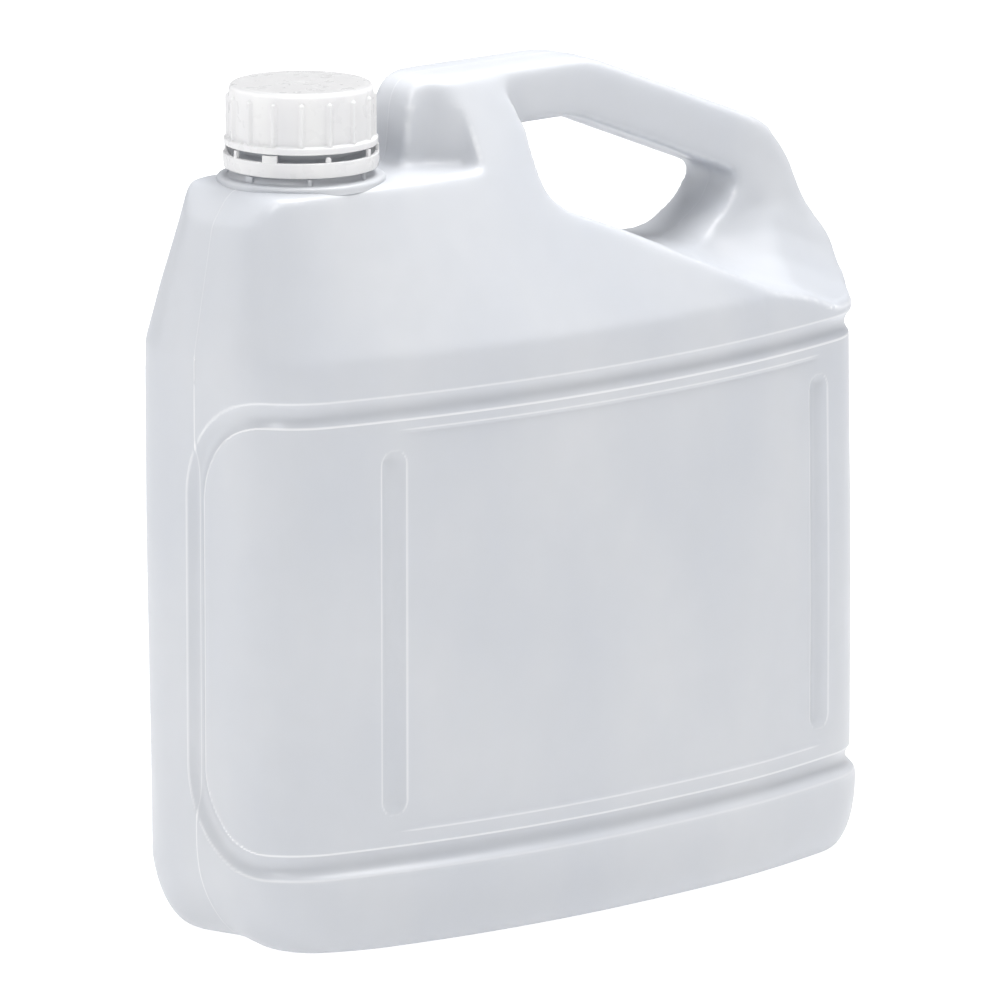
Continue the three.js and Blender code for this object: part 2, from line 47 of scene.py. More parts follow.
# ---- body ----
LENGTH = 261
DEPTH = 110
FACE_BOW = 430  # radius of the broad faces in plan, under the shoulder
DECK_FACE_BOW = 3000  # the same at deck height, nearly flat
END_BOW = 330
CORNER = 30
DECK_CORNER_LOSS = 12  # how much tighter the corners are at deck height
LEAST_SIDE = 3  # half of the flat that is always left between two corners
WALL = 1.2
BASE_EDGE_HEIGHT = 30
SHOULDER_HEIGHT = 193
DECK_HEIGHT = 245.2
DECK_HALF_DEPTH = 28
DECK_OVERHANG = 26  # flat of the deck beyond the neck axis
END_LEAN = 5
NECK_END_LEAN = 5  # how much more the neck end leans in
HANDLE_TOP = 274
HANDLE_SLOPE = 0.388
POST_LEAN = 20
HANDLE_WIDTH = 27
GRIP_THICKNESS = 19.3
PILLAR_NEAR = -49
HOLE_NEAR = -10.5
HOLE_FAR = 85
HOLE_SLOPE_START = 20
TOP_SLOPE_START = 25
RIDGE_AT_HOLE = 232.4
RIDGE_SLOPE = 0.43
NECK_X = -86

# ---- panel ----
PANEL_LOW = 31
PANEL_HIGH = 177
PANEL_CORNER = 30
GROOVE_HALF = 4.3
GROOVE_DEPTH = 2.3
GROOVE_EDGE = 0.45
PANEL_SINK = 0.8
SEAM_LOW = 184  # top of the finely gridded wall
SEAM_HIGH = 185  # foot of the upper part, joined to it by a strip


def ease(t):
    t = max(0.0, min(1.0, t))
    return t * t * (3 - 2 * t)


# ---- plan outline: three tangent arcs to a quarter ----


class Plan:
    """The outline of the body at one height, walked round by distance."""

    def __init__(self, length, depth, corner, face_bow):
        self.face = (0.0, depth / 2 - face_bow, face_bow)
        self.end = (length / 2 - END_BOW, 0.0, END_BOW)
        reach_face = face_bow - corner
        reach_end = END_BOW - corner
        dx = self.end[0] - self.face[0]
        dy = self.end[1] - self.face[1]
        apart = math.hypot(dx, dy)
        along = (reach_face**2 - reach_end**2 + apart**2) / (2 * apart)
        off = math.sqrt(reach_face**2 - along**2)
        ux, uy = dx / apart, dy / apart
        cx = self.face[0] + ux * along + uy * off
        cy = self.face[1] + uy * along - ux * off
        self.corner = (cx, cy, corner)
        self.low = math.atan2(cy - self.end[1], cx - self.end[0])
        self.high = math.atan2(cy - self.face[1], cx - self.face[0])
        self.runs = (
            END_BOW * self.low,
            corner * (self.high - self.low),
            face_bow * (math.pi / 2 - self.high),
        )
        self.half = 2 * sum(self.runs)

    def place(self, run):
        """Point and outward direction at a distance round from the -X parting line.

        The distance is positive along the front side and negative along the back.
        """
        side = -1 if run >= 0 else 1
        s = abs(run)
        end_side = -1
        if s > self.half / 2:
            s = self.half - s
            end_side = 1
        first, second, third = self.runs
        if s < first:
            arc, angle = self.end, s / END_BOW
        elif s < first + second:
            arc, angle = self.corner, self.low + (s - first) / self.corner[2]
        else:
            arc, angle = self.face, self.high + (s - first - second) / self.face[2]
        nx, ny = math.cos(angle), math.sin(angle)
        x, y = arc[0] + arc[2] * nx, arc[1] + arc[2] * ny
        return end_side * x, side * y, end_side * nx, side * ny


BODY = Plan(LENGTH, DEPTH, CORNER, FACE_BOW)


def plan_at(z):
    """The outline of the leaning walls at a height, narrowing from the shoulder to the deck."""
    rise = max(z - SHOULDER_HEIGHT, 0) / (DECK_HEIGHT - SHOULDER_HEIGHT)
    depth = DEPTH - 2 * rise * (DEPTH / 2 - DECK_HALF_DEPTH)
    flat = min(rise, 1)
    bow = 1 / ((1 - flat) / FACE_BOW + flat / DECK_FACE_BOW)
    corner = min(CORNER - DECK_CORNER_LOSS * flat, depth / 2 - LEAST_SIDE)
    return Plan(LENGTH - 2 * rise * END_LEAN, depth, corner, bow)


# ---- relief of the wall: border groove, sunk panel, upright grooves and label ledges ----


def rounded_distance(across, up, half_wide, half_high, radius):
    qx = abs(across) - (half_wide - radius)
    qz = abs(up) - (half_high - radius)
    outside = math.hypot(max(qx, 0), max(qz, 0))
    return outside + min(max(qx, qz), 0) - radius


def hollow(distance, half, depth, edge):
    """A rounded valley that meets the wall at a crisp edge."""
    valley = depth * (1 - (distance / half) ** 2)
    return (valley + math.sqrt(valley * valley + edge * edge)) / 2 if abs(distance) < 3 * half else 0.0


FRONT_MIDDLE = BODY.half / 2
PANEL_MIDDLE = (PANEL_HIGH + PANEL_LOW) / 2
PANEL_HALF_HIGH = (PANEL_HIGH - PANEL_LOW) / 2
UPRIGHTS = (-86, 99)  # upright grooves on the panel, places along X
UPRIGHT_HALF = 4.6
UPRIGHT_LOW = 45
UPRIGHT_HIGH = 163.5
UPRIGHT_DEPTH = 1.9
UPRIGHT_EDGE = 0.22
BROAD_FACE_HALF = 112
LABEL_FROM, LABEL_TO = -90, 103
LABEL_FROM_FADE, LABEL_TO_FADE = 14, 10
LABEL_LOW, LABEL_HIGH = 40, 169.5
LABEL_SINK = 0.75
LEDGE_HALF = 0.9  # half height of the ledge above and below the label


def border_distance(run, z):
    """Distance from the panel's border line, negative inside; the line closes at each narrow end."""
    if run >= 0:
        across = run - FRONT_MIDDLE
        return rounded_distance(across, z - PANEL_MIDDLE, FRONT_MIDDLE, PANEL_HALF_HIGH, PANEL_CORNER)
    past = min(-run, BODY.half + run)
    over = max(abs(z - PANEL_MIDDLE) - (PANEL_HALF_HIGH - PANEL_CORNER), 0)
    return math.hypot(past + PANEL_CORNER, over) - PANEL_CORNER


def relief(run, z, x):
    """How far the wall is sunk at a place, in millimetres."""
    border = border_distance(run, z)
    sunk = hollow(border, GROOVE_HALF, GROOVE_DEPTH, GROOVE_EDGE)
    if border < 0:
        sunk = max(sunk, PANEL_SINK * ease(-border / GROOVE_HALF))
    if run <= 0 or abs(x) >= BROAD_FACE_HALF:
        return sunk
    for centre in UPRIGHTS:
        along = max(UPRIGHT_LOW + UPRIGHT_HALF - z, z - UPRIGHT_HIGH + UPRIGHT_HALF, 0)
        away = math.hypot(x - centre, along)
        if away < 2 * UPRIGHT_HALF:
            sunk += hollow(away, UPRIGHT_HALF, UPRIGHT_DEPTH, UPRIGHT_EDGE)
    inside = min(LABEL_HIGH - z, z - LABEL_LOW)
    if border < -GROOVE_HALF and inside > -LEDGE_HALF:
        ends = ease((x - LABEL_FROM) / LABEL_FROM_FADE) * ease((LABEL_TO - x) / LABEL_TO_FADE)
        sunk += LABEL_SINK * ends * ease((inside + LEDGE_HALF) / (2 * LEDGE_HALF))
    return sunk


TIGHT_EDGE_HIGH, TIGHT_EDGE_WIDE = 24, 9  # base edge along the faces and at the far end
SOFT_EDGE_HIGH, SOFT_EDGE_WIDE = 14, 12  # what the neck end adds to it
SOFT_EDGE_REACH = 75


def base_in(run, z):
    """Draw-in of the base edge: broad at the neck end, tight along the faces and at the far end."""
    soft = ease(1 - abs(run) / SOFT_EDGE_REACH)
    high = TIGHT_EDGE_HIGH + SOFT_EDGE_HIGH * soft
    wide = TIGHT_EDGE_WIDE + SOFT_EDGE_WIDE * soft
    if z >= high:
        return 0.0
    up = (high - z) / high
    return wide * (1 - math.sqrt(max(1 - up * up, 0)))


FOOT_PROUD = 1.2  # how far the foot under the panel stands proud
FOOT_TOP = 30
BACK_CORNER_RUN = -48  # where the fuller corner behind the neck end has its middle
BACK_CORNER_FULL = 1.6


def fullness(run, z):
    """How far the blown wall stands out from the plain outline.

    The far end is fuller towards its foot, the corner behind the neck end is fuller up to the
    shoulder, and the foot stands proud all round but at the neck end.
    """
    far = ease((abs(run) - BODY.half * 0.55) / 60)
    near = ease(1 - abs(run) / 90)
    full = far * (0.2 + 1.2 * ease((190 - z) / 110)) * ease((228 - z) / 40)
    back_corner = ease(1 - abs(run - BACK_CORNER_RUN) / 50)
    full += back_corner * BACK_CORNER_FULL * ease((z - 20) / 130) * ease((240 - z) / 32)
    return full + FOOT_PROUD * ease((FOOT_TOP - z) / 6) * (1 - near)


# ---- small makers ----


def spread(*stops):
    """Stops are (value, step to the next value); the last is a plain value."""
    out = []
    for (a, step), nxt in zip(stops[:-1], stops[1:]):
        b = nxt[0] if isinstance(nxt, tuple) else nxt
        count = max(1, round((b - a) / step))
        out += [a + (b - a) * i / count for i in range(count)]
    out.append(stops[-1])
    return out


def ring(bm, points):
    return [bm.verts.new(p) for p in points]


def prism(outline, place, low, high):
    """A closed prism from an outline of (a, b, round radius) corners.

    place turns (a, b, c) into x, y, z, where c runs from low to high.
    """
    bm = bmesh.new()
    count = len(outline)
    corners = [bm.verts.new((a, b, 0)) for a, b, _ in outline]
    bm.faces.new(corners)
    for i, vert in enumerate(corners):
        radius = outline[i][2]
        if not radius:
            continue
        before = Vector(outline[i - 1][:2]) - Vector(outline[i][:2])
        after = Vector(outline[(i + 1) % count][:2]) - Vector(outline[i][:2])
        open_angle = before.angle(after)
        bmesh.ops.bevel(
            bm, geom=[vert], offset=radius / math.tan(open_angle / 2), offset_type="OFFSET",
            segments=8, profile=0.5, affect="VERTICES", material=-1,
        )
    faces = list(bm.faces)
    side = bmesh.ops.extrude_face_region(bm, geom=faces)
    raised = {v for v in side["geom"] if isinstance(v, bmesh.types.BMVert)}
    for v in bm.verts:
        a, b = v.co.x, v.co.y
        v.co = place(a, b, high if v in raised else low)
    bmesh.ops.recalc_face_normals(bm, faces=bm.faces)
    return named(bm, "prism")


def named(bm, name, scale=1.0):
    """Turns mesh code into an object in the scene."""
    if scale != 1.0:
        bmesh.ops.scale(bm, vec=(scale,) * 3, verts=bm.verts)
    mesh = bpy.data.meshes.new(name)
    bm.to_mesh(mesh)
    bm.free()
    obj = bpy.data.objects.new(name, mesh)
    bpy.context.scene.collection.objects.link(obj)
    return obj


def scrap(*objs):
    for obj in objs:
        mesh = obj.data
        bpy.data.objects.remove(obj)
        bpy.data.meshes.remove(mesh)


def settle(obj):
    """Applies the modifiers of a piece."""
    graph = bpy.context.evaluated_depsgraph_get()
    graph.update()
    made = bpy.data.meshes.new_from_object(obj.evaluated_get(graph))
    old = obj.data
    obj.modifiers.clear()
    obj.data = made
    bpy.data.meshes.remove(old)
    return obj


def joined(obj, other, operation):
    """Adds, cuts away or keeps what another piece covers, and uses that piece up."""
    tool = obj.modifiers.new("cut", "BOOLEAN")
    tool.operation = operation
    tool.solver = "EXACT"
    tool.object = other
    settle(obj)
    scrap(other)
    return obj


# ---- the upper part: shoulder, deck, pillar, grip and rear post ----

MASS_FOOT = 150  # the upper part is built down to here, then cut off at the seam
PAST = 150  # cutting solids run this far, clear of the body
POST_FOOT_X, POST_FOOT_Z = 120.6, 215  # outer corner low on the rear post
POST_FOOT_SLOPE = 1.4
DECK_EDGE_SLOPE = 1.25
PILLAR_STEP = 1.5
NOTCH_HALF_NEAR, NOTCH_HALF_FAR = 10, 19  # half width of the pillar along its side notches
NOTCH_BEND_X, NOTCH_END_X = PILLAR_NEAR + 7, -33


def ridge_line(x):
    return RIDGE_AT_HOLE - RIDGE_SLOPE * (x - HOLE_NEAR)


def roof_line(x):
    return HANDLE_TOP - GRIP_THICKNESS - HANDLE_SLOPE * (x - HOLE_SLOPE_START)


def top_line(x):
    return HANDLE_TOP - HANDLE_SLOPE * (x - TOP_SLOPE_START)


def side_on(a, b, c):
    return (a, c, b)


def lofted(rings, name):
    """A closed solid through rings that all have the same number of points."""
    bm = bmesh.new()
    loops = []
    for points in rings:
        verts = ring(bm, points)
        loops.append([bm.edges.new((verts[i - 1], verts[i])) for i in range(len(verts))])
    for a, b in zip(loops[:-1], loops[1:]):
        bmesh.ops.bridge_loops(bm, edges=a + b)
    bmesh.ops.contextual_create(bm, geom=loops[0])
    bmesh.ops.contextual_create(bm, geom=loops[-1])
    bmesh.ops.recalc_face_normals(bm, faces=bm.faces)
    return named(bm, name)


def leaning_mass():
    """The solid that the leaning walls enclose, carried on above the handle."""
    count = 160
    rings = []
    shoulder = (SHOULDER_HEIGHT - 14, SHOULDER_HEIGHT - 6, SHOULDER_HEIGHT)
    for z in (MASS_FOOT, *shoulder, DECK_HEIGHT, HANDLE_TOP + 8):
        plan = plan_at(z)
        places = [plan.place(-plan.half + 2 * plan.half * i / count) for i in range(count)]
        rise = max(z - SHOULDER_HEIGHT, 0) / (DECK_HEIGHT - SHOULDER_HEIGHT)
        lean = NECK_END_LEAN * rise / (LENGTH / 2)
        rings.append([(x * (1 - lean) if x < 0 else x, y, z) for x, y, _, _ in places])
    return lofted(rings, "mass")


def silhouette():
    """The upper part seen from the front: deck, pillar, grip and post, with its round radii."""
    clear = LENGTH / 2 + 20
    post_top = LENGTH / 2 - POST_LEAN
    deck_end = NECK_X - DECK_OVERHANG
    return [
        (-clear, 120, 0),
        (clear, 120, 0),
        (clear, POST_FOOT_Z - (clear - POST_FOOT_X) * POST_FOOT_SLOPE, 0),
        (POST_FOOT_X, POST_FOOT_Z, 14),
        (post_top, top_line(post_top), 27),
        (TOP_SLOPE_START, HANDLE_TOP, 40),
        (PILLAR_NEAR + 1, HANDLE_TOP, 9),
        (PILLAR_NEAR - 2, DECK_HEIGHT, 4),
        (deck_end - 3, DECK_HEIGHT, 8),
        (-clear, DECK_HEIGHT - (clear + deck_end) * DECK_EDGE_SLOPE, 0),
    ]


def full_depth():
    """What keeps the body's full depth: all under the shoulder ridge, and the pillar."""
    far = HOLE_NEAR + PILLAR_STEP
    outline = [
        (-200, 100, 0),
        (200, 100, 0),
        (200, ridge_line(200), 0),
        (far, ridge_line(far), 0),
        (far, 252, 0),
        (far - 6, 276, 0),
        (far - 6, 300, 0),
        (-200, 300, 0),
    ]
    return prism(outline, side_on, -PAST, PAST)


def rail():
    """The grip and the rear post, flaring out to the shoulder ridge and more widely at the post.

    A flare is the half width across (first) at heights square to the ridge (second).
    """
    half = HANDLE_WIDTH / 2
    body = DEPTH / 2
    near_flare = [
        (body, -90), (body, -2), (half + 17, 2), (half + 6, 7),
        (half + 1.5, 12), (half, 18), (half, 40), (half, 90),
    ]
    far_flare = [
        (body, -90), (body, 0), (half + 21, 5), (half + 12, 13),
        (half + 6, 22), (half + 2, 32), (half, 42), (half - 3, 90),
    ]
    turn = math.atan(RIDGE_SLOPE)

    def along(across, up, forward):
        return (
            HOLE_NEAR + forward * math.cos(turn) + up * math.sin(turn),
            across,
            ridge_line(HOLE_NEAR) - forward * math.sin(turn) + up * math.cos(turn),
        )

    rings = []
    for forward, flare in ((-150, near_flare), (88, near_flare), (112, far_flare), (250, far_flare)):
        both = flare + [(-y, up) for y, up in reversed(flare)]
        rings.append([along(y, up, forward) for y, up in both])
    return lofted(rings, "rail")


def hand_hole():
    """The hole seen from the front, its floor saddled towards the rear post."""
    outline = [
        (HOLE_NEAR, ridge_line(HOLE_NEAR), 14),
        (48, ridge_line(48) + 2, 24),
        (70, 207, 14),
        (HOLE_FAR, 217, 6),
        (HOLE_FAR + 6, roof_line(HOLE_FAR + 6), 3),
        (HOLE_SLOPE_START, HANDLE_TOP - GRIP_THICKNESS, 30),
        (HOLE_NEAR, HANDLE_TOP - GRIP_THICKNESS, 4),
    ]
    return prism(outline, side_on, -PAST, PAST)


def pillar_notch(side):
    """What is cut from one side of the pillar, so that it narrows towards the neck."""
    start = PILLAR_NEAR - 30
    outline = [
        (start, side * NOTCH_HALF_NEAR, 0),
        (NOTCH_BEND_X, side * NOTCH_HALF_NEAR, 0),
        (NOTCH_END_X, side * NOTCH_HALF_FAR, 0),
        (NOTCH_END_X, side * 90, 0),
        (start, side * 90, 0),
    ]
    return prism(outline, lambda a, b, c: (a, b, c), DECK_HEIGHT, 300)


def upper_coarse():
    mass = leaning_mass()
    joined(mass, prism(silhouette(), side_on, -200, 200), "INTERSECT")
    joined(mass, joined(full_depth(), rail(), "UNION"), "INTERSECT")
    joined(mass, hand_hole(), "DIFFERENCE")
    for side in (1, -1):
        joined(mass, pillar_notch(side), "DIFFERENCE")
    return mass


def smooth_where(bm, passes, inside):
    """Melts the edges of one region; more passes give a softer edge."""
    for _ in range(passes):
        chosen = [v for v in bm.verts if inside(v.co)]
        bmesh.ops.smooth_vert(
            bm, verts=chosen, factor=0.5, use_axis_x=True, use_axis_y=True, use_axis_z=True
        )


def fill_out(bm):
    """Gives the shoulder the same fullness at its ends as the wall under it."""
    marks = 600
    tree = KDTree(marks)
    runs = [BODY.half * (2 * i / marks - 1) for i in range(marks)]
    for i, run in enumerate(runs):
        x, y, _, _ = BODY.place(run)
        tree.insert((x, y, 0), i)
    tree.balance()
    for v in bm.verts:
        if v.co.z < 240 and abs(v.co.x) > 70:
            _, i, _ = tree.find((v.co.x, v.co.y, 0))
            _, _, nx, ny = BODY.place(runs[i])
            full = fullness(runs[i], v.co.z)
            v.co.x += nx * full
            v.co.y += ny * full


def upper_part():
    """The coarse solid with its edges melted soft, as blown plastic leaves them."""
    part = upper_coarse()
    remesh = part.modifiers.new("even", "REMESH")
    remesh.mode = "VOXEL"
    remesh.voxel_size = 1.5
    settle(part)
    bm = bmesh.new()
    bm.from_mesh(part.data)
    scrap(part)
    everything = bm.verts[:] + bm.edges[:] + bm.faces[:]
    bmesh.ops.bisect_plane(
        bm, geom=everything, plane_co=(0, 0, SEAM_HIGH), plane_no=(0, 0, 1), clear_inner=True
    )
    smooth_where(bm, 5, lambda p: p.z > SEAM_HIGH + 0.1)

    def top_edge(p):
        return p.x > PILLAR_NEAR - 6 and p.z > min(HANDLE_TOP, top_line(p.x)) - 9 and p.z > 215

    def deck_edge(p):
        return p.x < -40 and abs(p.z - DECK_HEIGHT) < 9

    def post_edge(p):
        return p.z > 192 and p.x > 106 + max(0, (238 - p.z)) * 0.4

    def grip_foot(p):
        return p.x > -4 and abs(p.z - min(HANDLE_TOP - GRIP_THICKNESS, roof_line(p.x))) < 7

    smooth_where(bm, 16, top_edge)
    smooth_where(bm, 8, grip_foot)
    smooth_where(bm, 20, post_edge)
    smooth_where(bm, 3, deck_edge)
    fill_out(bm)
    return bm


# ---- the lower wall, gridded finely where the grooves run ----


FINE = 0.42  # grid step over a crisp edge
UPRIGHT_GRID = (0, 1.3, 2.6, 3.4, 3.9, 4.3, 4.7, 5.1, 5.6, 6.5)  # from the middle of an upright groove
EDGE_GRID = (0, 0.004, 0.016, 0.035, 0.065, 0.11, 0.17, 0.24, 0.33, 0.43, 0.54, 0.66, 0.78)
BOW_STRETCH = 1.0075  # run along the bowed face for each millimetre along X


def wall_columns():
    """Distances round the wall, close together where a groove or its corner runs."""
    half = BODY.half
    front = spread(
        (0, 0.6),
        (0.6, 0.6),
        (GROOVE_HALF - 1.1, FINE),
        (GROOVE_HALF + 1.1, 1.0),
        (PANEL_CORNER + 4, 3.2),
        half / 2,
    )
    front = sorted(set(front + [half - s for s in front]))
    extra = []
    for centre in UPRIGHTS:
        middle = half / 2 + centre * BOW_STRETCH
        extra += [middle + side * d for side in (1, -1) for d in UPRIGHT_GRID]
    extra = sorted(set(extra))
    kept = [s for s in front if all(abs(s - e) > 0.9 for e in extra)]
    front = sorted(kept + extra)
    back = spread((0.6, 0.6), (GROOVE_HALF - 1.1, FINE), (GROOVE_HALF + 1.1, 1.6), (24, 3.4), half / 2)
    back = sorted(set([-s for s in back] + [-(half - s) for s in back]))
    return [s for s in back if s > -half + 0.01] + front


def wall_rows():
    """Heights of the wall's rings, close together where a groove or a ledge runs."""
    edge = [BASE_EDGE_HEIGHT * t for t in EDGE_GRID]
    g = GROOVE_HALF
    low = spread(
        (PANEL_LOW - g - 1.1, FINE),
        (PANEL_LOW - g + 1.5, 0.9),
        (PANEL_LOW + g - 1.3, FINE),
        (PANEL_LOW + g + 1.2, 0.8),
        (LABEL_LOW - 1.6, 0.45),
        (LABEL_LOW + 1.6, 1.1),
        (PANEL_LOW + PANEL_CORNER + 2, 4.5),
        PANEL_MIDDLE,
    )
    high = spread(
        (PANEL_MIDDLE, 4.5),
        (PANEL_HIGH - PANEL_CORNER - 2, 1.1),
        (LABEL_HIGH - 1.6, 0.45),
        (LABEL_HIGH + 1.6, FINE),
        (PANEL_HIGH - g + 1.3, 0.9),
        (PANEL_HIGH + g - 1.5, FINE),
        (PANEL_HIGH + g + 1.1, 1.2),
        SEAM_LOW,
    )
    return edge + low + high[1:]


PARTING_RIDGE = 0.22
PINCH_DEPTH = 2.4  # dip in the base edge where the mould pinched the tube shut
PINCH_HALF = 9
PINCH_HIGH = 26


def wall_place(run, z):
    """The point of the wall at a distance round and a height, with all its relief."""
    x, y, nx, ny = BODY.place(run)
    away = base_in(run, z) + relief(run, z, x) - fullness(run, z)
    near = min(abs(run), BODY.half - abs(run))
    if near < 0.3:
        away -= PARTING_RIDGE
    if abs(x) > 60:
        away += PINCH_DEPTH * math.exp(-((y / PINCH_HALF) ** 2)) * ease((PINCH_HIGH - z) / PINCH_HIGH)
    return Vector((x - nx * away, y - ny * away, z))


def lower_wall(bm):
    """Stacks the wall's rings and returns the edges of its lowest and highest."""
    runs = wall_columns()
    rows = [ring(bm, [wall_place(s, z) for s in runs]) for z in wall_rows()]
    edges = [[bm.edges.new((row[i - 1], row[i])) for i in range(len(row))] for row in rows]
    for a, b in zip(edges[:-1], edges[1:]):
        bmesh.ops.bridge_loops(bm, edges=a + b)
    return edges[0], edges[-1]


def close_base(bm, loop):
    """The underside: the outline drawn in towards the middle, a little domed."""
    previous = 1.0
    for share, rise in ((0.93, 0.0), (0.86, 1.2), (0.7, 2.0), (0.45, 2.6), (0.15, 2.8)):
        made = bmesh.ops.extrude_edge_only(bm, edges=loop)["geom"]
        verts = {g for g in made if isinstance(g, bmesh.types.BMVert)}
        loop = [g for g in made if isinstance(g, bmesh.types.BMEdge) and verts.issuperset(g.verts)]
        for v in verts:
            v.co.x *= share / previous
            v.co.y *= share / previous
            v.co.z = rise
        previous = share
    bmesh.ops.contextual_create(bm, geom=loop)


def parting_ridge(bm, low):
    """Raises a fine line where the two halves of the mould met."""

    def close_by(part):
        verts = [part] if isinstance(part, bmesh.types.BMVert) else part.verts
        return all(abs(v.co.y) < 8 and v.co.z > low for v in verts)

    for y in (-0.6, 0.0, 0.6):
        geom = [g for g in bm.verts[:] + bm.edges[:] + bm.faces[:] if close_by(g)]
        bmesh.ops.bisect_plane(bm, geom=geom, plane_co=(0, y, 0), plane_no=(0, 1, 0), dist=0.02)
    bm.normal_update()
    moved = [(v, v.normal.copy()) for v in bm.verts if abs(v.co.y) < 0.05 and v.co.z > low]
    for v, n in moved:
        if abs(n.y) < 0.5:
            v.co += n * PARTING_RIDGE


MOUTH_RADIUS = 19.5  # hole in the deck, hidden under the collar


def open_neck(bm):
    """Cuts the deck open under the neck."""
    centre = Vector((NECK_X, 0))
    floor_height = DECK_HEIGHT - 3

    def doomed(face):
        middle = face.calc_center_median()
        near = (middle.xy - centre).length < MOUTH_RADIUS
        return near and middle.z > floor_height and face.normal.z > 0.8

    bmesh.ops.delete(bm, geom=[f for f in bm.faces if doomed(f)], context="FACES")
    for v in bm.verts:
        if v.is_boundary and v.co.z > floor_height:
            out = (v.co.xy - centre).normalized() * MOUTH_RADIUS
            v.co.x, v.co.y = centre.x + out.x, centre.y + out.y


def mark_crests(bm):
    """Stores how sharply the wall turns outwards or inwards at each vertex, for the finish to read as
    painted highlight lines along sharp edges.
    """
    layer = bm.verts.layers.float.new("crest")
    bm.normal_update()
    for v in bm.verts:
        bend = 0.0
        for e in v.link_edges:
            step = v.co - e.other_vert(v).co
            bend += 2 * v.normal.dot(step) / max(step.length_squared, 0.04)
        v[layer] = bend / max(len(v.link_edges), 1)
    evened = {}
    for v in bm.verts:
        if v.co.z > SEAM_HIGH:
            around_it = sum(e.other_vert(v)[layer] for e in v.link_edges) / 4
            evened[v] = (v[layer] + around_it) / 2
    for v, bend in evened.items():
        v[layer] = bend


def make_body():
    """The whole moulding under the neck: upper part, wall, underside and inner skin."""
    bm = upper_part()
    parting_ridge(bm, SEAM_HIGH - 0.5)
    open_neck(bm)
    seam = [e for e in bm.edges if e.is_boundary and all(v.co.z < SEAM_HIGH + 0.1 for v in e.verts)]
    foot, top = lower_wall(bm)
    bmesh.ops.bridge_loops(bm, edges=seam + top)
    close_base(bm, foot)
    bmesh.ops.recalc_face_normals(bm, faces=bm.faces)
    mark_crests(bm)
    line_inside(bm)
    for f in bm.faces:
        f.smooth = True
    return named(bm, "jug_body", MM)


# ---- neck finish, cap, band and liner: turned about the upright line through the neck ----

NECK_RADIUS = 19.9
BORE_RADIUS = 18.2
LAND_HEIGHT = 273.1
THREAD_PITCH = 5
THREAD_DEPTH = 1.4
THREAD_HALF = 1.1
THREAD_START = 260
THREAD_TURNS = 1.5
CAP_TOP = 276.3
CAP_BOTTOM = 256.9
CAP_ROOT = 21.7
CAP_WALL = 1.4
CAP_TOP_WALL = 1.6
CAP_EDGE = 2
FLANGE_RADIUS = 24.6
RIB_COUNT = 16
RIB_TOP = 273.1
RIB_HALF = 0.85
RIB_PROUD = 1.0
RIB_TURN = math.radians(5.5)
BAND_TOP = 254.3
BAND_HEIGHT = 4.9
BAND_RADIUS = 24.9
BEAD_RADIUS = 22.5
COLLAR_RADIUS = 27
LUG_COUNT = 7
LUG_RADIUS = 22.7
LUG_DEPTH = 2.2
LUG_WIDTH = 1.4
WIDE_LUG = 3
LUG_TURN = math.radians(236.8)
BRIDGE_TURN = math.radians(229)
BRIDGE_REPEATS = 3
GATE_RADIUS = 1.75  # sprue dimple in the middle of the cap
FINE_STEPS = 360


def arc(cr, cz, radius, start, end, count=6):
    """Profile points round an arc, angles in degrees."""
    turns = [math.radians(start + (end - start) * i / count) for i in range(count + 1)]
    return [(cr + radius * math.cos(t), cz + radius * math.sin(t)) for t in turns]


def upright(radius, low, high, step):
    """Points up or down a straight wall."""
    count = max(1, round(abs(high - low) / step))
    return [(radius, low + (high - low) * i / count) for i in range(1, count)]


def spun(profile, closed, steps=FINE_STEPS):
    """Turns a profile of (radius, height) points once round the neck axis."""
    bm = bmesh.new()
    points = [bm.verts.new((NECK_X + r, 0, z)) for r, z in profile]
    edges = [bm.edges.new(pair) for pair in zip(points[:-1], points[1:])]
    if closed:
        edges.append(bm.edges.new((points[-1], points[0])))
    bmesh.ops.spin(
        bm, geom=points + edges, cent=(NECK_X, 0, 0), axis=(0, 0, 1), angle=FULL_TURN,
        steps=steps, use_merge=True, use_duplicate=False,
    )
    bmesh.ops.remove_doubles(bm, verts=bm.verts, dist=0.0005)
    bmesh.ops.recalc_face_normals(bm, faces=bm.faces)
    return bm


def polar(p):
    return math.hypot(p.x - NECK_X, p.y), math.atan2(p.y, p.x - NECK_X)


def push(v, amount):
    r, turn = polar(v.co)
    v.co.x += amount * math.cos(turn)
    v.co.y += amount * math.sin(turn)


def dome(away, half, height):
    return height * math.sqrt(max(0.0, 1 - (away / half) ** 2))


def thread_relief(turn, z, start):
    """Height of the thread ridge at a place, run out smoothly at both ends."""
    best = 0.0
    for lap in range(3):
        done = (turn % FULL_TURN) / FULL_TURN + lap
        if done > THREAD_TURNS:
            break
        fade = ease(min(done, THREAD_TURNS - done) / 0.08)
        off = abs(z - (start + THREAD_PITCH * done))
        best = max(best, fade * THREAD_DEPTH * ease((THREAD_HALF - off) / 0.6))
    return best


def block(turn, radius, wide, deep, low, high, round_off):
    """A small bevelled block standing on a cylinder round the neck axis."""
    bm = bmesh.new()
    bmesh.ops.create_cube(bm, size=1)
    bmesh.ops.scale(bm, vec=(deep, wide, high - low), verts=bm.verts)
    bmesh.ops.bevel(
        bm, geom=bm.edges[:], offset=round_off, segments=3, profile=0.5, affect="EDGES", material=-1
    )
    bmesh.ops.translate(bm, vec=(radius, 0, (low + high) / 2), verts=bm.verts)
    bmesh.ops.rotate(bm, cent=(0, 0, 0), matrix=Matrix.Rotation(turn, 3, "Z"), verts=bm.verts)
    bmesh.ops.translate(bm, vec=(NECK_X, 0, 0), verts=bm.verts)
    return bm


